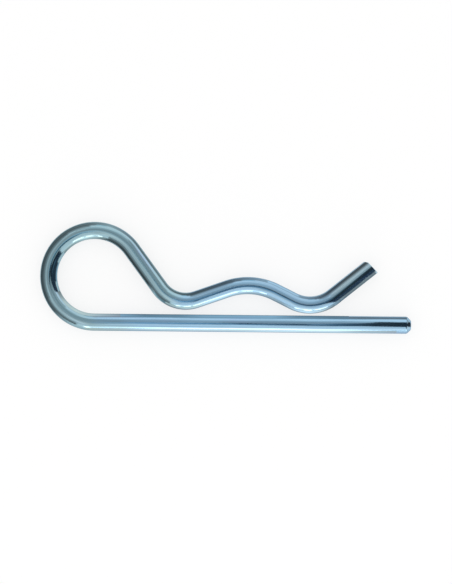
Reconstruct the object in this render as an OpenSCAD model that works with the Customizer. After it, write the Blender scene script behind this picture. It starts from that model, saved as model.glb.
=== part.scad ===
// Hitch R clip: one length of round spring wire, bent in one plane.
// The straight leg lies along X and passes through a cross hole in a pin or shaft.
// The wavy leg runs above it on the +Y side, and its saddle snaps over that shaft.
// The origin is on the straight leg's axis, under the middle of the saddle.

/* [Wire] */
// Diameter of the wire
wire_d = 5; // [3:0.1:7]

/* [Straight leg] */
// Length of the leg from the middle of the saddle to its tip
leg_reach = 47.2; // [38:0.1:70]
// Chamfer round the leg's tip
leg_chamfer = 1.2; // [0.3:0.1:1.4]

/* [Eye] */
// Inside diameter of the eye
eye_d = 21.5; // [14:0.1:30]
// Length of the straight shoulder between the eye and the throat
shoulder_len = 13.8; // [6:0.1:22]

/* [Throat] */
// Gap between the two legs at the throat
throat_gap = 1.3; // [0.5:0.05:4]
// Inside radius of the bend at the throat
throat_bend = 6.8; // [3:0.1:12]
// Length of the straight rise between the throat and the saddle
rise_len = 9.5; // [4:0.1:16]

/* [Saddle] */
// Height of the arch of the saddle above the straight leg
saddle_gap = 6; // [4.5:0.1:9]
// Inside radius of the arch, on the side that rests on the shaft
saddle_bend = 15.6; // [8:0.1:24]
// Length of the straight fall between the saddle and the mouth
fall_len = 5.5; // [2:0.1:12]

/* [Mouth] */
// Gap between the two legs at the mouth, with the clip sprung shut
mouth_gap = 0.55; // [0.2:0.05:3]
// Inside radius of the bend at the mouth
mouth_bend = 8.4; // [3:0.1:14]

/* [Tail] */
// Angle at which the tail flares away from the straight leg
tail_angle = 38.8; // [25:0.1:60]
// Length of the straight tail, along its axis
tail_len = 14.2; // [6:0.1:24]
// Lean of the sheared end, whose lower edge reaches further
tail_lean = 6; // [0:0.5:15]
// Width of the corner that the shear rounded off at the upper edge
tail_corner = 0.8; // [0.2:0.1:1.4]

/* [Hidden] */
$fn = 96;

// Radii of the wire and of its centreline in each bend
wire_r = wire_d / 2;
eye_r = eye_d / 2 + wire_r;
throat_r = throat_bend + wire_r;
saddle_r = saddle_bend + wire_r;
mouth_r = mouth_bend + wire_r;

// Height of the centreline over the straight leg's, at each bend's highest or lowest point
eye_y = 2 * eye_r;
throat_y = wire_d + throat_gap;
saddle_y = wire_d + saddle_gap;
mouth_y = wire_d + mouth_gap;

// Slope of each straight run between two bends
shoulder_slope = slope(eye_y - throat_y, eye_r + throat_r, shoulder_len);
rise_slope = slope(saddle_y - throat_y, throat_r + saddle_r, rise_len);
fall_slope = slope(saddle_y - mouth_y, saddle_r + mouth_r, fall_len);

// Place of each bend's middle along the leg, with the saddle's at zero
throat_x = -pitch(rise_slope, throat_r + saddle_r, rise_len);
eye_x = throat_x - pitch(shoulder_slope, eye_r + throat_r, shoulder_len);
mouth_x = pitch(fall_slope, saddle_r + mouth_r, fall_len);

// Each bend is [centre, turn]. The turn is the centreline's radius, negative where
// the wire turns right on its way from the leg's tip to the tail's.
eye = [[eye_x, eye_y - eye_r], -eye_r];
throat = [[throat_x, throat_y + throat_r], throat_r];
saddle = [[0, saddle_y - saddle_r], -saddle_r];
mouth = [[mouth_x, mouth_y + mouth_r], mouth_r];

// Times smaller than life at which the bars and bends are joined
weld_scale = 1000;

// Slope of the run that takes the wire down by a drop, from one bend's top
// to the next one's bottom
function slope(drop, radii, run) =
    acos((radii - drop) / norm([radii, run])) - atan2(run, radii);

// Distance along the leg from the middle of one bend to the middle of the next
function pitch(angle, radii, run) =
    radii * sin(angle) + run * cos(angle);

// Point of a bend's centreline at which the wire has a heading, in degrees from +X
function on_bend(bend, heading) =
    bend[0] + bend[1] * [sin(heading), -cos(heading)];

// Straight bar from a point towards a heading
module bar(start, heading, length)
    translate(start)
        rotate([0, 90, heading])
            cylinder(d = wire_d, h = length);

// Straight bar whose far end is cut square and chamfered
module chamfered_bar(start, heading, length, chamfer) {
    // The chamfer can't take more than the wire's own radius
    c = min(chamfer, 0.95 * wire_r);
    translate(start)
        rotate([0, 90, heading])
            rotate_extrude()
                polygon([[0, 0], [wire_r, 0], [wire_r, length - c], [wire_r - c, length], [0, length]]);
}

// Straight bar whose far end is sheared at a lean, with its upper corner taken off
module sheared_bar(start, heading, length, lean, corner) {
    // The corner can't reach past the wire's own axis
    c = min(corner, 0.95 * wire_r);
    // Shear outline, seen from above and larger than the wire all round
    out = 2 * wire_r;
    corner_y = wire_r - c;
    corner_x = length - corner_y * tan(lean);
    translate(start) rotate(heading) intersection() {
        rotate([0, 90, 0])
            cylinder(d = wire_d, h = length + out);
        translate([0, 0, -out])
            linear_extrude(2 * out)
                polygon([[-out, -out], [length + out * tan(lean), -out], [corner_x, corner_y],
                         [corner_x - (out - corner_y), out], [-out, out]]);
    }
}

// Bent stretch of wire, from one heading to another
module turn(bend, from, to)
    translate(bend[0])
        rotate(from - sign(bend[1]) * 90)
            rotate_extrude(angle = to - from)
                translate([abs(bend[1]), 0])
                    circle(d = wire_d);

// Joins bars and bends that meet end to end. They are brought together much smaller
// than life, where the rounding of their ends closes up, and then enlarged again.
module weld()
    scale(weld_scale)
        for (i = [0 : $children - 1])
            scale(1 / weld_scale)
                children(i);

// The whole wire: leg, eye, shoulder, throat, rise, saddle, fall, mouth and tail
module clip_wire() {
    color("lightsteelblue") weld() {
        chamfered_bar([eye_x, 0], 0, leg_reach - eye_x, leg_chamfer);
        turn(eye, 180, -shoulder_slope);
        bar(on_bend(eye, -shoulder_slope), -shoulder_slope, shoulder_len);
        turn(throat, -shoulder_slope, rise_slope);
        bar(on_bend(throat, rise_slope), rise_slope, rise_len);
        turn(saddle, rise_slope, -fall_slope);
        bar(on_bend(saddle, -fall_slope), -fall_slope, fall_len);
        turn(mouth, -fall_slope, tail_angle);
        sheared_bar(on_bend(mouth, tail_angle), tail_angle, tail_len, tail_lean, tail_corner);
    }
}

clip_wire();
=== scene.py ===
import math
import bpy
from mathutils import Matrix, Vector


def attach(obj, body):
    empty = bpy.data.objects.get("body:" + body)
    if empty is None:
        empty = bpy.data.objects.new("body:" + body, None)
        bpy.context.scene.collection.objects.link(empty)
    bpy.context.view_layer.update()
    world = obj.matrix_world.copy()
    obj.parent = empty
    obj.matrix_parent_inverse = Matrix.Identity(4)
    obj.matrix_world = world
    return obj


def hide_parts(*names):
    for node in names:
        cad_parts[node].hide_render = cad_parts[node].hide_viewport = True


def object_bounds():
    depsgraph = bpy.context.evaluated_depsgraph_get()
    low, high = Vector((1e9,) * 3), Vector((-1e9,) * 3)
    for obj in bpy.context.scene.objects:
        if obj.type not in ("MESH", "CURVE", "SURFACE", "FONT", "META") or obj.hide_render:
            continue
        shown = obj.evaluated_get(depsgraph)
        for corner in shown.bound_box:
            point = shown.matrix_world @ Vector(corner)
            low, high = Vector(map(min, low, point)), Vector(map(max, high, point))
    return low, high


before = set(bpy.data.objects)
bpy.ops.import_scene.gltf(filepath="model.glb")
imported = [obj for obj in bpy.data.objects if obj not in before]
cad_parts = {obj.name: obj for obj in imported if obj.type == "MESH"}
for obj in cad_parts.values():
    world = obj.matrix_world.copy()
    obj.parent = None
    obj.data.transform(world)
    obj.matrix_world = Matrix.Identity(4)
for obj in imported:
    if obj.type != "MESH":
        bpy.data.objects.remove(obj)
cadLow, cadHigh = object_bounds()
mm = 0.001
print("frame loaded:", ", ".join(sorted(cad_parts)))


# Small helpers for node trees

def newNode(tree, kind, inputs=None, **settings):
    node = tree.nodes.new(kind)
    for name, value in settings.items():
        setattr(node, name, value)
    for key, value in (inputs or {}).items():
        plug(tree, value, node.inputs[key])
    return node


def plug(tree, value, socket):
    if isinstance(value, bpy.types.NodeSocket):
        tree.links.new(value, socket)
    elif isinstance(value, bpy.types.Node):
        tree.links.new(value.outputs[0], socket)
    else:
        socket.default_value = value


def calc(tree, operation, *values):
    node = tree.nodes.new("ShaderNodeMath")
    node.operation = operation
    for i, value in enumerate(values):
        plug(tree, value, node.inputs[i])
    return node.outputs[0]


def vector(tree, x, y, z):
    return newNode(tree, "ShaderNodeCombineXYZ", {0: x, 1: y, 2: z}).outputs[0]


def split(tree, value):
    return newNode(tree, "ShaderNodeSeparateXYZ", {0: value}).outputs


def addVectors(tree, a, b):
    return newNode(tree, "ShaderNodeVectorMath", {0: a, 1: b}, operation="ADD").outputs[0]


# The wire: a straight blank, cut and chamfered, that is then bent run by run

wire = {
    # lengths in mm, angles in degrees
    "diameter": 5.0,
    "legReach": 47.2,         # from the middle of the saddle to the leg's tip
    "legChamfer": 1.2,
    "eyeDiameter": 21.5,      # inside
    "shoulderLength": 13.8,
    "throatGap": 1.3,         # between the legs
    "throatBend": 6.8,        # inside radius
    "riseLength": 9.5,
    "saddleGap": 6.0,
    "saddleBend": 15.6,
    "fallLength": 5.5,
    "mouthGap": 0.55,
    "mouthBend": 8.4,
    "tailAngle": 38.8,
    "tailLength": 14.2,
    "tailLean": 6.0,          # of the sheared end
    "shearReach": 3.0,        # stretch of the tail over which the lean sets in
    "tailCorner": 0.8,
    "cornerRoll": 0.2,        # softness of the edge between that corner and the sheared end
    "tipRounding": 0.9,       # of both edges of the leg's chamfer
    "rimRounding": 0.18,      # round the tail's sheared end
    "roundingPoints": 8,      # in the outline of each rounded edge
    "wander": 0.02,           # how far the skin strays from true
    "wanderAlong": 60.0,      # waves to the metre along the wire
    "wanderAcross": 260.0,    # and across it
    "wanderSeed": 3,
    "rings": 560,             # of points along the wire
    "around": 48,             # faces round the wire
    "endRings": 0.09,         # share of the rings that is kept for each end
    "endLength": 0.021,       # share of the outline's length that counts as an end
    "samePoint": 0.002,       # points closer than this become one
}


def slopeBetween(drop, radii, run):
    # slope of a straight run between one bend's top and the next one's bottom
    return math.acos((radii - drop) / math.hypot(radii, run)) - math.atan2(run, radii)


def pitchBetween(slope, radii, run):
    # distance along the leg from the middle of one bend to the middle of the next
    return radii * math.sin(slope) + run * math.cos(slope)


def wireRuns(w):
    # every run in order from the leg's tip: name, length, turn (left is positive)
    r = w["diameter"] / 2
    eye = w["eyeDiameter"] / 2 + r
    throat = w["throatBend"] + r
    saddle = w["saddleBend"] + r
    mouth = w["mouthBend"] + r
    throatY = 2 * r + w["throatGap"]
    saddleY = 2 * r + w["saddleGap"]
    mouthY = 2 * r + w["mouthGap"]
    shoulder = slopeBetween(2 * eye - throatY, eye + throat, w["shoulderLength"])
    rise = slopeBetween(saddleY - throatY, throat + saddle, w["riseLength"])
    fall = slopeBetween(saddleY - mouthY, saddle + mouth, w["fallLength"])
    tail = math.radians(w["tailAngle"])
    throatX = -pitchBetween(rise, throat + saddle, w["riseLength"])
    eyeX = throatX - pitchBetween(shoulder, eye + throat, w["shoulderLength"])
    return [
        ("Leg", w["legReach"] - eyeX, 0.0),
        ("Eye", eye * (math.pi + shoulder), -(math.pi + shoulder)),
        ("Shoulder", w["shoulderLength"], 0.0),
        ("Throat", throat * (shoulder + rise), shoulder + rise),
        ("Rise", w["riseLength"], 0.0),
        ("Saddle", saddle * (rise + fall), -(rise + fall)),
        ("Fall", w["fallLength"], 0.0),
        ("Mouth", mouth * (fall + tail), fall + tail),
        ("Tail", w["tailLength"], 0.0),
    ]


def makeRunGroup():
    # what one run adds to the place and the heading of a point that lies some way along the wire
    smallestTurn = 0.0001     # radians, so that a straight run divides by something
    tree = bpy.data.node_groups.new("wireRun", "GeometryNodeTree")
    face = tree.interface
    for name in ("Along", "Start", "Heading", "Length", "Turn"):
        face.new_socket(name, in_out="INPUT", socket_type="NodeSocketFloat")
    face.new_socket("Offset", in_out="OUTPUT", socket_type="NodeSocketVector")
    for name in ("Turned", "End", "End Heading"):
        face.new_socket(name, in_out="OUTPUT", socket_type="NodeSocketFloat")
    given = tree.nodes.new("NodeGroupInput").outputs
    done = tree.nodes.new("NodeGroupOutput").inputs
    travelled = calc(tree, "SUBTRACT", given["Along"], given["Start"])
    travelled = calc(tree, "MINIMUM", calc(tree, "MAXIMUM", travelled, 0.0), given["Length"])
    turned = calc(tree, "MULTIPLY", given["Turn"], calc(tree, "DIVIDE", travelled, given["Length"]))
    half = calc(tree, "MULTIPLY", turned, 0.5)
    size = calc(tree, "MAXIMUM", calc(tree, "ABSOLUTE", half), smallestTurn)
    chord = calc(tree, "MULTIPLY", travelled, calc(tree, "DIVIDE", calc(tree, "SINE", size), size))
    aim = calc(tree, "ADD", given["Heading"], half)
    dx = calc(tree, "MULTIPLY", chord, calc(tree, "COSINE", aim))
    dy = calc(tree, "MULTIPLY", chord, calc(tree, "SINE", aim))
    plug(tree, vector(tree, dx, dy, 0.0), done["Offset"])
    plug(tree, turned, done["Turned"])
    plug(tree, calc(tree, "ADD", given["Start"], given["Length"]), done["End"])
    plug(tree, calc(tree, "ADD", given["Heading"], given["Turn"]), done["End Heading"])
    return tree


def blankOutline(w, total):
    # from the middle of one end to the middle of the other: the points in mm, and which is the tip's last
    r, c = w["diameter"] / 2, w["legChamfer"]
    return [(0, 0), (0, r - c), (c, r), (total, r), (total, 0)], 2


def makeWireTree(w, runs, lastTipCorner, material):
    tree = bpy.data.node_groups.new("bentWire", "GeometryNodeTree")
    face = tree.interface
    face.new_socket("Outline", in_out="INPUT", socket_type="NodeSocketGeometry")
    face.new_socket("Wire", in_out="OUTPUT", socket_type="NodeSocketGeometry")
    sizes = {
        "Wire Radius": w["diameter"] / 2 * mm,
        "Leg Reach": w["legReach"] * mm,
        "Tip Rounding": w["tipRounding"] * mm,
        "Rim Rounding": w["rimRounding"] * mm,
        "Wander": w["wander"] * mm,
        "Tail Lean": math.radians(w["tailLean"]),
        "Tail Corner": w["tailCorner"] * mm,
    }
    for name, length, turn in runs:
        sizes[name + " Length"] = length * mm
        if turn:
            sizes[name + " Turn"] = turn
    counts = {"Rings": w["rings"], "Around": w["around"], "Seed": w["wanderSeed"]}
    for name in sizes:
        face.new_socket(name, in_out="INPUT", socket_type="NodeSocketFloat")
    for name in counts:
        face.new_socket(name, in_out="INPUT", socket_type="NodeSocketInt")
    given = tree.nodes.new("NodeGroupInput").outputs
    total = sum(length for name, length, turn in runs) * mm

    # the blank's outline, with its edges rounded
    outline = newNode(tree, "GeometryNodeMeshToCurve", {0: given["Outline"]})
    atTail = calc(tree, "GREATER_THAN", newNode(tree, "GeometryNodeInputIndex"), lastTipCorner)
    rounding = newNode(tree, "GeometryNodeSwitch", {
        "Switch": atTail, "False": given["Tip Rounding"], "True": given["Rim Rounding"],
    }, input_type="FLOAT")
    outline = newNode(tree, "GeometryNodeFilletCurve", {
        "Curve": outline, "Radius": rounding, "Count": w["roundingPoints"],
    }, mode="POLY")
    # a sheet whose sides are wrapped round the wire's axis
    columns = calc(tree, "ADD", given["Around"], 1)
    sheet = newNode(tree, "GeometryNodeMeshGrid", {
        "Size X": 1.0, "Size Y": 1.0, "Vertices X": given["Rings"], "Vertices Y": columns,
    })
    cell = split(tree, newNode(tree, "GeometryNodeInputPosition"))
    # more rings near both ends, where the edges are rounded
    spacing = newNode(tree, "ShaderNodeFloatCurve", {"Value": calc(tree, "ADD", cell[0], 0.5)})
    curve = spacing.mapping.curves[0]
    curve.points[0].location = (0, 0)
    curve.points[1].location = (1, 1)
    curve.points.new(w["endRings"], w["endLength"])
    curve.points.new(1 - w["endRings"], 1 - w["endLength"])
    for point in curve.points:
        point.handle_type = "VECTOR"
    spacing.mapping.update()
    turn = calc(tree, "MULTIPLY", calc(tree, "ADD", cell[1], 0.5), 2 * math.pi)
    ring = newNode(tree, "GeometryNodeSampleCurve", {"Curves": outline, "Factor": spacing}, mode="FACTOR")
    at = split(tree, ring.outputs["Position"])
    straight = vector(tree, at[0], calc(tree, "MULTIPLY", at[1], calc(tree, "COSINE", turn)),
                      calc(tree, "MULTIPLY", at[1], calc(tree, "SINE", turn)))
    blank = newNode(tree, "GeometryNodeSetPosition", {"Geometry": sheet, "Position": straight})
    blank = newNode(tree, "GeometryNodeMergeByDistance", {"Geometry": blank, "Distance": w["samePoint"] * mm})
    # the plating keeps to the place that each point has on the straight blank
    blank = newNode(tree, "GeometryNodeStoreNamedAttribute", {
        "Geometry": blank, "Name": "drawn", "Value": newNode(tree, "GeometryNodeInputPosition"),
    }, data_type="FLOAT_VECTOR", domain="POINT")

    # drawn wire is never quite true: its skin wanders inwards by some micrometres
    spot = split(tree, newNode(tree, "GeometryNodeInputPosition"))
    stretched = vector(tree, calc(tree, "MULTIPLY", spot[0], w["wanderAlong"]),
                       calc(tree, "MULTIPLY", spot[1], w["wanderAcross"]),
                       calc(tree, "MULTIPLY", spot[2], w["wanderAcross"]))
    uneven = newNode(tree, "ShaderNodeTexNoise", {
        "Vector": stretched, "W": given["Seed"], "Scale": 1.0, "Detail": 1.0,
    }, noise_dimensions="4D")
    push = calc(tree, "MULTIPLY", calc(tree, "SUBTRACT", uneven.outputs[0], 1.0), given["Wander"])
    sideways = vector(tree, 0.0, spot[1], spot[2])
    outward = newNode(tree, "ShaderNodeVectorMath", {0: sideways}, operation="NORMALIZE")
    outward = newNode(tree, "ShaderNodeVectorMath", {0: outward, "Scale": push}, operation="SCALE")
    blank = newNode(tree, "GeometryNodeSetPosition", {"Geometry": blank, "Offset": outward})

    # the shear leaves the tail's end leaning, and rolls its upper corner over
    spot = split(tree, newNode(tree, "GeometryNodeInputPosition"))
    nearEnd = newNode(tree, "ShaderNodeMapRange", {
        "Value": spot[0], "From Min": total - w["shearReach"] * mm, "From Max": total,
    }, interpolation_type="SMOOTHSTEP")
    lean = calc(tree, "TANGENT", given["Tail Lean"])
    leaned = calc(tree, "MULTIPLY", calc(tree, "MULTIPLY", spot[1], lean), nearEnd)
    leaned = calc(tree, "SUBTRACT", spot[0], leaned)
    cornerY = calc(tree, "SUBTRACT", given["Wire Radius"], given["Tail Corner"])
    cornerX = calc(tree, "SUBTRACT", total, calc(tree, "MULTIPLY", cornerY, lean))
    rolled = calc(tree, "SUBTRACT", calc(tree, "ADD", cornerX, cornerY), spot[1])
    rolled = calc(tree, "SMOOTH_MIN", leaned, rolled, w["cornerRoll"] * mm)
    sheared = vector(tree, rolled, spot[1], spot[2])
    blank = newNode(tree, "GeometryNodeSetPosition", {"Geometry": blank, "Position": sheared})

    # bending, run by run from the leg's tip, where the wire heads towards -X
    group = makeRunGroup()
    spot = split(tree, newNode(tree, "GeometryNodeInputPosition"))
    place = vector(tree, given["Leg Reach"], 0.0, 0.0)
    facing = math.pi
    start, heading = 0.0, math.pi
    for name, length, turn in runs:
        run = newNode(tree, "GeometryNodeGroup", {
            "Along": spot[0], "Start": start, "Heading": heading,
            "Length": given[name + " Length"], "Turn": given[name + " Turn"] if turn else 0.0,
        }, node_tree=group, label=name)
        place = addVectors(tree, place, run.outputs["Offset"])
        facing = calc(tree, "ADD", facing, run.outputs["Turned"])
        start, heading = run.outputs["End"], run.outputs["End Heading"]
    # what sticks out past the sheared end goes straight on
    past = calc(tree, "MAXIMUM", calc(tree, "SUBTRACT", spot[0], start), 0.0)
    forwardX = calc(tree, "COSINE", facing)
    forwardY = calc(tree, "SINE", facing)
    ahead = vector(tree, calc(tree, "MULTIPLY", past, forwardX),
                   calc(tree, "MULTIPLY", past, forwardY), spot[2])
    aside = vector(tree, calc(tree, "MULTIPLY", spot[1], calc(tree, "MULTIPLY", forwardY, -1.0)),
                   calc(tree, "MULTIPLY", spot[1], forwardX), 0.0)
    place = addVectors(tree, place, addVectors(tree, ahead, aside))
    bent = newNode(tree, "GeometryNodeSetPosition", {"Geometry": blank, "Position": place})
    bent = newNode(tree, "GeometryNodeSetShadeSmooth", {"Geometry": bent, "Shade Smooth": True})
    bent = newNode(tree, "GeometryNodeRealizeInstances", {"Geometry": bent})
    bent = newNode(tree, "GeometryNodeSetMaterial", {"Geometry": bent, "Material": material})
    plug(tree, bent, tree.nodes.new("NodeGroupOutput").inputs[0])
    return tree, {**sizes, **counts}


def makeWire(w, runs, material):
    total = sum(length for name, length, turn in runs)
    corners, lastTipCorner = blankOutline(w, total)
    edges = [(i, i + 1) for i in range(len(corners) - 1)]
    outline = bpy.data.meshes.new("wireOutline")
    outline.from_pydata([(x * mm, y * mm, 0) for x, y in corners], edges, [])
    drawing = bpy.data.objects.new("wireDrawing", outline)
    bpy.context.scene.collection.objects.link(drawing)
    tree, values = makeWireTree(w, runs, lastTipCorner, material)
    modifier = drawing.modifiers.new("bentWire", "NODES")
    modifier.node_group = tree
    for item in tree.interface.items_tree:
        if item.in_out == "INPUT" and item.name in values:
            modifier[item.identifier] = values[item.name]
    drawing.update_tag()
    mesh = bpy.data.meshes.new_from_object(drawing.evaluated_get(bpy.context.evaluated_depsgraph_get()))
    bpy.data.objects.remove(drawing)
    mesh.name = "clipWire"
    piece = bpy.data.objects.new("clipWire", mesh)
    bpy.context.scene.collection.objects.link(piece)
    print("wire bent:", len(mesh.polygons), "faces,", round(total, 1), "mm of wire")
    return piece


# Bright zinc plating over drawn spring wire

plating = {
    "blue": (0.34, 0.54, 0.72),       # the passivated film, on the leg and the wave
    "green": (0.34, 0.52, 0.59),      # greener where it is thicker, on the eye and the shoulder
    "grey": (0.47, 0.65, 0.75),       # thinner, on the tail
    "violet": (0.36, 0.50, 0.71),     # faint patches anywhere
    "speck": (0.16, 0.20, 0.24),
    "edge": (0.55, 0.60, 0.63),       # reflection at a glancing angle
    # mm along the wire from the leg's tip, between which one tint goes over into the next
    "greenStart": (77, 91),
    "greenEnd": (162, 174),
    "greyStart": (210, 218),
    "drift": 60,                      # mm, how much the noise moves these borders
    "streaks": (0.84, 1.12),          # how far the film's brightness varies across the wire
    "roughness": (0.07, 0.15),
    "lineWear": 0.4,                  # share of the wear that follows the die's lines, and the rest is patchy
    "violetStrength": 0.6,
    # dull ends: mm from the leg's tip and from the tail's end
    "legCut": (0.1, 0.4),
    "tailCut": (0.12, 0.02),
    "cutRoughness": 0.28,
    # depths in mm
    "dieLines": 0.004,                # too fine to see one by one
    "dieRidges": 0.03,                # broader streaks along the wire
    "shearLines": 0.02,               # coarse ones across the cut ends
    # noise: waves to the metre along the wire and across it, detail, shift, roughness
    "driftNoise": (60, 300, 3),
    "violetNoise": (55, 420, 3, 7.0),
    "streakNoise": (30, 1300, 3, 21.0, 0.6),
    "speckNoise": (3200, 3600, 1, 3.0),
    "lineNoise": (45, 9000, 2, 1.0),
    "patchNoise": (90, 500, 3, 11.0),
    "ridgeNoise": (28, 1500, 2, 5.0),
    "shearNoise": (900, 700, 6000),   # along the wire and the two ways across it
    # heights in the noise at which a mark begins and is full
    "violetFrom": (0.56, 0.74),
    "streakFrom": (0.34, 0.66),
    "speckFrom": (0.79, 0.84),
    "wearFrom": (0.3, 0.7),
}


def makePlating(p, total):
    material = bpy.data.materials.new("zincPlating")
    material.use_nodes = True
    tree = material.node_tree
    shader = tree.nodes["Principled BSDF"]
    # the place on the straight wire, before it was bent, in metres
    drawn = newNode(tree, "ShaderNodeAttribute", attribute_name="drawn").outputs["Vector"]

    def noise(along, across, detail, shift=0.0, rough=0.5):
        spread = newNode(tree, "ShaderNodeMapping", {
            "Vector": drawn, "Location": (shift, shift, shift), "Scale": (along, across, across),
        })
        return newNode(tree, "ShaderNodeTexNoise", {
            "Vector": spread, "Scale": 1.0, "Detail": detail, "Roughness": rough,
        }).outputs["Fac"]

    def between(value, low, high, toLow=0.0, toHigh=1.0):
        return newNode(tree, "ShaderNodeMapRange", {
            "Value": value, "From Min": low, "From Max": high, "To Min": toLow, "To Max": toHigh,
        }, interpolation_type="SMOOTHSTEP").outputs["Result"]

    def blend(amount, a, b):
        mix = newNode(tree, "ShaderNodeMix", data_type="RGBA")
        plug(tree, amount, mix.inputs[0])
        plug(tree, a if isinstance(a, bpy.types.NodeSocket) else (*a, 1), mix.inputs[6])
        plug(tree, b if isinstance(b, bpy.types.NodeSocket) else (*b, 1), mix.inputs[7])
        return mix.outputs[2]

    def onWire(place, ends, toLow=0.0, toHigh=1.0):
        # goes from one value to the other between two places along the wire, in mm
        return between(place, ends[0] * mm, ends[1] * mm, toLow, toHigh)

    # tints of the film drift along the wire, and are drawn out by its die
    spot = split(tree, drawn)
    drift = calc(tree, "MULTIPLY", calc(tree, "SUBTRACT", noise(*p["driftNoise"]), 0.5), p["drift"] * mm)
    along = calc(tree, "ADD", spot[0], drift)
    thick = calc(tree, "MULTIPLY", onWire(along, p["greenStart"]), onWire(along, p["greenEnd"], 1.0, 0.0))
    film = blend(thick, p["blue"], p["green"])
    film = blend(onWire(along, p["greyStart"]), film, p["grey"])
    violet = between(noise(*p["violetNoise"]), *p["violetFrom"], 0.0, p["violetStrength"])
    film = blend(violet, film, p["violet"])
    streak = between(noise(*p["streakNoise"]), *p["streakFrom"], *p["streaks"])
    film = newNode(tree, "ShaderNodeVectorMath", {0: film, 1: vector(tree, streak, streak, streak)},
                   operation="MULTIPLY").outputs[0]
    specks = between(noise(*p["speckNoise"]), *p["speckFrom"])
    film = blend(specks, film, p["speck"])
    plug(tree, film, shader.inputs["Base Color"])

    # both ends are duller, where they were cut
    legEnd = onWire(spot[0], p["legCut"], 1.0, 0.0)
    tailEnd = onWire(spot[0], [total - inset for inset in p["tailCut"]])
    cut = calc(tree, "MAXIMUM", legEnd, tailEnd)
    lines = noise(*p["lineNoise"])
    patches = noise(*p["patchNoise"])
    wear = calc(tree, "ADD", calc(tree, "MULTIPLY", lines, p["lineWear"]),
                calc(tree, "MULTIPLY", patches, 1 - p["lineWear"]))
    worn = between(wear, *p["wearFrom"], *p["roughness"])
    rough = newNode(tree, "ShaderNodeMix", {0: cut, 2: worn, 3: p["cutRoughness"]}, data_type="FLOAT")
    plug(tree, rough, shader.inputs["Roughness"])

    # fine lines along the wire, and coarser ones across the cut ends
    ridges = newNode(tree, "ShaderNodeBump", {
        "Height": noise(*p["ridgeNoise"]), "Distance": p["dieRidges"] * mm, "Strength": 1.0,
    })
    dies = newNode(tree, "ShaderNodeBump", {
        "Height": lines, "Distance": p["dieLines"] * mm, "Strength": 1.0, "Normal": ridges,
    })
    spread = newNode(tree, "ShaderNodeMapping", {"Vector": drawn, "Scale": p["shearNoise"]})
    tears = newNode(tree, "ShaderNodeTexNoise", {"Vector": spread, "Scale": 1.0, "Detail": 3.0})
    bump = newNode(tree, "ShaderNodeBump", {
        "Height": calc(tree, "MULTIPLY", tears.outputs["Fac"], cut),
        "Distance": p["shearLines"] * mm, "Strength": 1.0, "Normal": dies,
    })
    plug(tree, bump, shader.inputs["Normal"])

    shader.inputs["Metallic"].default_value = 1
    shader.inputs["Specular Tint"].default_value = (*p["edge"], 1)
    print("plating mixed:", len(tree.nodes), "nodes")
    return material


runs = wireRuns(wire)
wireLength = sum(length for name, length, turn in runs)
clip = makeWire(wire, runs, makePlating(plating, wireLength))
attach(clip, "root")
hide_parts("clip_wire")


# Studio: a pale floor in a pale tent, one long window, and cards that only the bright metal mirrors

floor = {
    "size": 4.0,               # metres
    "colour": (0.98, 0.98, 0.98),
    "whiteness": 0.75,         # share of plain white, which leaves the rest to light and shadow
}


def makeFloor(f):
    mesh = bpy.data.meshes.new("floor")
    s = f["size"] / 2
    z = cadLow[2]
    mesh.from_pydata([(-s, -s, z), (s, -s, z), (s, s, z), (-s, s, z)], [], [(0, 1, 2, 3)])
    ground = bpy.data.objects.new("floor", mesh)
    bpy.context.scene.collection.objects.link(ground)
    material = bpy.data.materials.new("paleFloor")
    material.use_nodes = True
    tree = material.node_tree
    tree.nodes.clear()
    ray = tree.nodes.new("ShaderNodeLightPath").outputs
    seen = calc(tree, "MAXIMUM", ray["Is Camera Ray"], ray["Is Glossy Ray"])
    seen = calc(tree, "MAXIMUM", seen, ray["Is Transmission Ray"])
    matt = newNode(tree, "ShaderNodeBsdfDiffuse", {"Color": (*f["colour"], 1)})
    white = newNode(tree, "ShaderNodeEmission", {"Color": (1, 1, 1, 1), "Strength": 1.0})
    amount = calc(tree, "MULTIPLY", seen, f["whiteness"])
    mix = newNode(tree, "ShaderNodeMixShader", {0: amount, 1: matt, 2: white})
    newNode(tree, "ShaderNodeOutputMaterial", {"Surface": mix})
    mesh.materials.append(material)


makeFloor(floor)

window = {
    # across and up, in metres
    "from": (-0.19, 0.0),
    "to": (0.32, 0.235),
    "distance": 0.6,           # from the clip, towards -Y
    "brightness": 2.0,
    "tint": (1.0, 0.88, 0.78),
}


def makeWindow(w):
    light = bpy.data.lights.new("window", "AREA")
    light.shape = "RECTANGLE"
    light.size = w["to"][0] - w["from"][0]
    light.size_y = w["to"][1] - w["from"][1]
    # the power at which its face shows the brightness
    light.energy = w["brightness"] * math.pi * light.size * light.size_y
    light.color = w["tint"]
    holder = bpy.data.objects.new("window", light)
    holder.location = ((w["to"][0] + w["from"][0]) / 2, -w["distance"], (w["to"][1] + w["from"][1]) / 2)
    holder.rotation_euler = (math.radians(90), 0, 0)
    bpy.context.scene.collection.objects.link(holder)


makeWindow(window)

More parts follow.
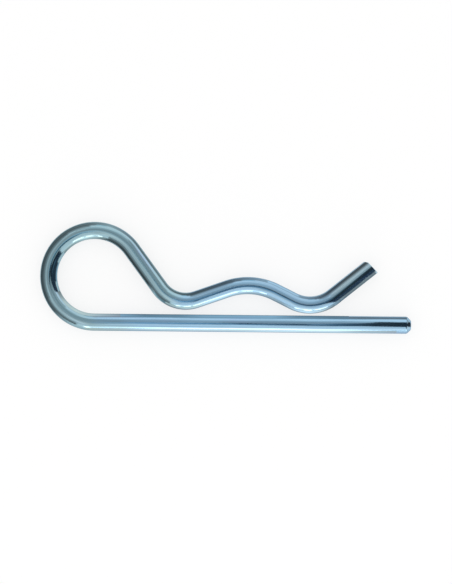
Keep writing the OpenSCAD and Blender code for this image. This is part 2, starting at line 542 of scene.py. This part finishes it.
# Glowing cards that light nothing and cast no shadow. Only the metal mirrors them, so they are painted
# reflections: the bright ones are painted highlights, and the dark ones are painted dark bands.
cards = {
    # name: brightness at one edge and at the rest, tint, corners in mm, the first two on that edge
    "windowTop": (1.7, 1.2, (1, 0.92, 0.85),
                  [(-150, -600, 235), (300, -600, 235), (300, -600, 400), (-150, -600, 400)]),
    "mullion": (1.2, 1.2, (0.9, 0.97, 1.0),
                [(66, -590, 0), (105, -590, 0), (105, -590, 240), (66, -590, 240)]),
    "curtain": (1.5, 1.5, (0.95, 0.97, 1.0),
                [(-120, -590, 0), (-44, -590, 0), (-44, -590, 240), (-120, -590, 240)]),
    "leftWall": (0.08, 0.42, (1, 1, 1),
                 [(-500, -200, 0), (-500, 260, 0), (-500, 260, 480), (-500, -200, 480)]),
    "farLeftWall": (0.08, 0.40, (1, 1, 1),
                    [(-500, 260, 0), (-320, 402, 0), (-320, 402, 480), (-500, 260, 480)]),
    "backWall": (0.06, 0.7, (1, 1, 1),
                 [(-320, 402, 0), (-120, 560, 0), (-120, 560, 480), (-320, 402, 480)]),
    "farWallLeft": (0.12, 0.6, (1, 1, 1),
                    [(-120, 560, 0), (-50, 560, 0), (-50, 560, 230), (-120, 560, 230)]),
    "farWall": (0.35, 1.1, (0.8, 0.95, 1),
                [(-50, 560, 0), (60, 560, 0), (60, 560, 230), (-50, 560, 230)]),
    "farRightWall": (0.6, 0.9, (1, 1, 1),
                     [(60, 560, 0), (330, 460, 0), (330, 460, 90), (60, 560, 90)]),
    "nearLeftWall": (0.10, 0.5, (1, 1, 1),
                     [(-500, -200, 0), (-240, -460, 0), (-240, -460, 400), (-500, -200, 400)]),
    "rightPanel": (0.1, 0.03, (0.40, 0.66, 1.0),
                   [(110, -98, 8), (110, 88, 8), (82, 68, 109), (52, 14, 218),
                    (-14, 45, 457), (-14, 10, 457), (50, -20, 225), (38, -60, 268)]),
    "nearCeiling": (0.78, 0.78, (1, 1, 1),
                    [(-800, -700, 600), (-20, -280, 600), (-20, -60, 600), (-800, -60, 600)]),
    "leftLight": (0.72, 1.2, (1, 0.96, 0.93),
                  [(-340, -560, 585), (-340, -150, 585), (-190, -150, 585), (-190, -560, 585)]),
    "leftLightEnd": (1.2, 0.8, (1, 0.96, 0.93),
                     [(-190, -560, 585), (-190, -150, 585), (-80, -150, 585), (-80, -560, 585)]),
    "leftCeiling": (0.6, 0.6, (1, 1, 1),
                    [(-800, -60, 600), (-20, -60, 600), (-20, 120, 600), (-260, 420, 600), (-800, 420, 600)]),
    "rightCeiling": (0.55, 0.55, (1, 1, 1),
                     [(-20, -20, 590), (800, 60, 590), (560, 760, 590)]),
    "farCeiling": (0.48, 0.85, (0.9, 0.97, 1.0),
                   [(-90, 60, 580), (320, 60, 580), (320, 640, 580), (-190, 640, 580)]),
    "backCeiling": (0.6, 0.6, (1, 1, 1),
                    [(-300, 400, 590), (-150, 400, 590), (-150, 640, 590), (-300, 640, 590)]),
    "bar": (0.16, 0.76, (0.52, 0.84, 1.05),
            [(40, -165, 570), (40, 40, 570), (-60, 40, 570), (-60, -175, 570)]),
    "barFoot": (0.18, 0.34, (0.52, 0.84, 1.05),
                [(40, -225, 570), (40, -165, 570), (6, -165, 570), (14, -215, 570)]),
    "barEnd": (0.18, 0.25, (0.52, 0.84, 1.05),
               [(40, -225, 570), (40, 40, 570), (110, 40, 570), (110, -205, 570)]),
    "farBar": (0.55, 0.55, (0.9, 1, 1.0),
               [(110, -125, 570), (320, -125, 570), (320, 60, 570), (110, 60, 570)]),
    "tipCard": (0.05, 0.05, (1, 1, 1),
                [(48.4, -0.9, 0.7), (48.4, 1.6, 0.7), (48.4, 1.6, 4.8), (48.4, -0.9, 4.8)]),
    "tipLight": (1.1, 1.1, (1, 0.95, 0.9),
                 [(48.4, -6, 0.7), (48.4, -0.9, 0.7), (48.4, -0.9, 4.8), (48.4, -6, 4.8)]),
    "tipShade": (0.6, 0.6, (1, 0.95, 0.9),
                 [(48.4, 1.6, 0.7), (48.4, 6, 0.7), (48.4, 6, 4.8), (48.4, 1.6, 4.8)]),
    "tipFlag": (0.05, 0.05, (0.6, 0.85, 1.0),
                [(40, -18, 60), (75, -18, 60), (75, 45, 60), (40, 45, 60)]),
    "tipFlagStart": (0.35, 0.05, (0.5, 0.8, 1.0),
                     [(20, -16, 60), (20, 3, 60), (40, 30, 60), (40, -20, 60)]),
}


def makeCard(name, tint, corners, faces, brightness):
    # corners in mm, with a brightness for each
    mesh = bpy.data.meshes.new(name)
    mesh.from_pydata([[x * mm for x in corner] for corner in corners], [], faces)
    mesh.attributes.new("glow", "FLOAT", "POINT").data.foreach_set("value", brightness)
    card = bpy.data.objects.new(name, mesh)
    bpy.context.scene.collection.objects.link(card)
    material = bpy.data.materials.new(name)
    material.use_nodes = True
    tree = material.node_tree
    tree.nodes.clear()
    glow = newNode(tree, "ShaderNodeAttribute", attribute_name="glow").outputs["Fac"]
    mirroredGlow = newNode(tree, "ShaderNodeEmission", {"Color": (*tint, 1), "Strength": glow})
    newNode(tree, "ShaderNodeOutputMaterial", {"Surface": mirroredGlow})
    mesh.materials.append(material)
    # the sheet glows, but it lights nothing and casts no shadow: it shows only as a painted reflection in the
    # metal
    card.visible_camera = card.visible_diffuse = card.visible_shadow = False


for name, (first, rest, tint, corners) in cards.items():
    brightness = [first, first] + [rest] * (len(corners) - 2)
    makeCard(name, tint, corners, [tuple(range(len(corners)))], brightness)

# Low glowing strips that stand on the floor beside the wire, light nothing and cast no shadow, and show only
# in the metal as painted reflections:
# the dark ones paint a dark outline along its edges, and the pale ones paint highlights along its flanks

foot = -wire["diameter"] / 2   # height of the floor in mm
# heights in mm, with the share of the strip's brightness at each
tall = [(foot, 1.0), (2.1, 1.0)]
dimFoot = [(foot, 0.65), (0.6, 0.65), (0.75, 1.0), (1.9, 1.0)]
brightFoot = [(foot, 8.0), (-0.8, 7.0), (0.3, 1.0), (2.1, 1.0)]
paintedReflectionStrips = {
    # name: heights, tint, points (mm along the wire from the leg's tip, mm to its left, brightness)
    # painted dark outline along the outer edge of the eye, the shoulder and the wave, lighter in places
    "outside": (tall, (1, 1, 1), [
        (97, 6.2, 1.0), (100, 6.2, 0.6), (103, 6.2, 0.2), (107, 6.2, 0.15), (114, 6.2, 0.14),
        (121, 6.2, 0.16), (126, 6.2, 0.2), (132, 6.2, 0.3), (137, 6.2, 0.6), (142, 6.2, 0.4),
        (146, 6.2, 0.3), (159, 6.2, 0.35), (171, 5.9, 0.17), (181, 5.9, 0.17), (187, 5.9, 0.4),
        (192, 6.1, 0.6),
    ]),
    "tailOutside": (tall, (1, 1, 1), [(202, 6.8, 0.6), (213, 6.3, 0.15), (227, 6.3, 0.12)]),
    "tailInside": (tall, (1, 1, 1), [(212, -2.7, 0.6), (216, -4.1, 0.3), (227, -4.1, 0.3)]),
    # painted dark inner edge of the shoulder
    "shoulderInside": (tall, (1, 1, 1), [
        (132, -6.3, 0.8), (138, -6.3, 0.15), (146, -6.3, 0.1), (156, -6.3, 0.1), (159.4, -6.3, 0.6),
    ]),
    # painted highlight along the leg's flank that faces away from the wave
    "legOutside": (tall, (1, 0.84, 0.72), [
        (4, 6, 1.0), (14, 6, 1.2), (22, 6, 1.7), (60, 6, 1.7), (72, 6, 1.5), (84, 6, 1.2), (94, 6, 1.2),
    ]),
    "tipInside": (tall, (1, 1, 1), [(-1, -6, 0.3), (14, -6, 0.3), (20, -6, 0.35)]),
    "legInside": (tall, (0.8, 0.95, 1), [
        (18, -2.56, 0.4), (22, -2.56, 0.4), (33, -2.56, 0.5), (40, -2.7, 0.75), (60, -2.9, 0.65),
        (67, -2.9, 0.45), (77, -3.2, 0.4), (84, -3.4, 0.65),
    ]),
    "eyeFoot": (tall, (1, 0.86, 0.78), [
        (84, -3.4, 0.65), (92, -3.6, 1.15), (98, -4.0, 1.4), (103, -4.0, 1.2), (107, -4.0, 0.5),
    ]),
    # painted dark patch on the inner side of the eye
    "patchInside": (brightFoot, (0.6, 0.8, 1.0), [(110.5, -6.3, 0.08), (117, -6.3, 0.08)]),
    # painted highlight along the wave's flank that faces the leg
    "waveInside": (dimFoot, (1, 0.92, 0.85), [
        (163, -3.6, 0.9), (168, -3.1, 1.3), (173, -3.0, 1.5), (183, -3.8, 1.5), (190, -4.2, 1.15),
        (198, -3.9, 0.85), (203, -3.05, 1.5), (205.6, -2.85, 1.7), (207, -2.9, 1.5), (210, -3.2, 1.0),
        (212, -3.4, 0.6),
    ]),
    # painted highlight on the eye's inner flank
    "eyeInside": (dimFoot, (1, 0.95, 0.9), [
        (121, -4.0, 0.9), (126, -4.0, 1.3), (130, -4.0, 1.8), (134, -4.0, 1.2), (137, -4.0, 0.5),
    ]),
}


def alongWire(s, aside):
    # the point that lies s mm along the wire from the leg's tip, and so far to its left
    x, y, heading = wire["legReach"], 0.0, math.pi
    for name, length, turn in runs:
        step = min(s, length)
        half = turn * step / length / 2
        chord = step * math.sin(half) / half if half else step
        x += chord * math.cos(heading + half)
        y += chord * math.sin(heading + half)
        heading += 2 * half
        s -= step
    return x - aside * math.sin(heading), y + aside * math.cos(heading)


def makeStrip(name, levels, tint, points, step=3):
    # points are added every few mm between the given ones, so that the strip follows the wire's bends
    line = []
    for (s, aside, glow), (nextS, nextAside, nextGlow) in zip(points, points[1:]):
        count = math.ceil((nextS - s) / step)
        for i in range(count):
            k = i / count
            line.append((s + (nextS - s) * k, aside + (nextAside - aside) * k, glow + (nextGlow - glow) * k))
    line.append(points[-1])
    rows = len(levels)
    corners = [(*alongWire(s, aside), z) for s, aside, glow in line for z, share in levels]
    faces = [(rows * i + j, rows * i + rows + j, rows * i + rows + j + 1, rows * i + j + 1)
             for i in range(len(line) - 1) for j in range(rows - 1)]
    makeCard(name, tint, corners, faces, [glow * share for s, aside, glow in line for z, share in levels])


for name, strip in paintedReflectionStrips.items():
    makeStrip(name + "Strip", *strip)

tent = {"brightness": 1.0}


def makeTent(t):
    world = bpy.data.worlds.new("tent")
    world.use_nodes = True
    cloth = world.node_tree.nodes["Background"].inputs
    cloth["Color"].default_value = (1, 1, 1, 1)
    cloth["Strength"].default_value = t["brightness"]
    bpy.context.scene.world = world


makeTent(tent)
print("studio built:", len(cards), "cards and", len(paintedReflectionStrips), "paintedReflectionStrips")

view = {
    "distance": 0.9,              # metres above the clip, straight down
    "aim": (-0.00635, 0.00908),   # the point in the middle of the picture, in metres
    "height": 0.16879,            # metres that the picture's longer side takes in
    "roll": 0.57,                 # degrees
    "sensor": 36,                 # mm
}


def makeCamera(v):
    camera = bpy.data.cameras.new("camera")
    camera.sensor_width = v["sensor"]
    camera.lens = v["sensor"] * v["distance"] / v["height"]
    holder = bpy.data.objects.new("camera", camera)
    holder.location = (*v["aim"], v["distance"])
    holder.rotation_euler = (0, 0, math.radians(v["roll"]))
    bpy.context.scene.collection.objects.link(holder)
    bpy.context.scene.camera = holder


makeCamera(view)
bpy.context.scene.view_settings.view_transform = "Standard"
print("scene ready")
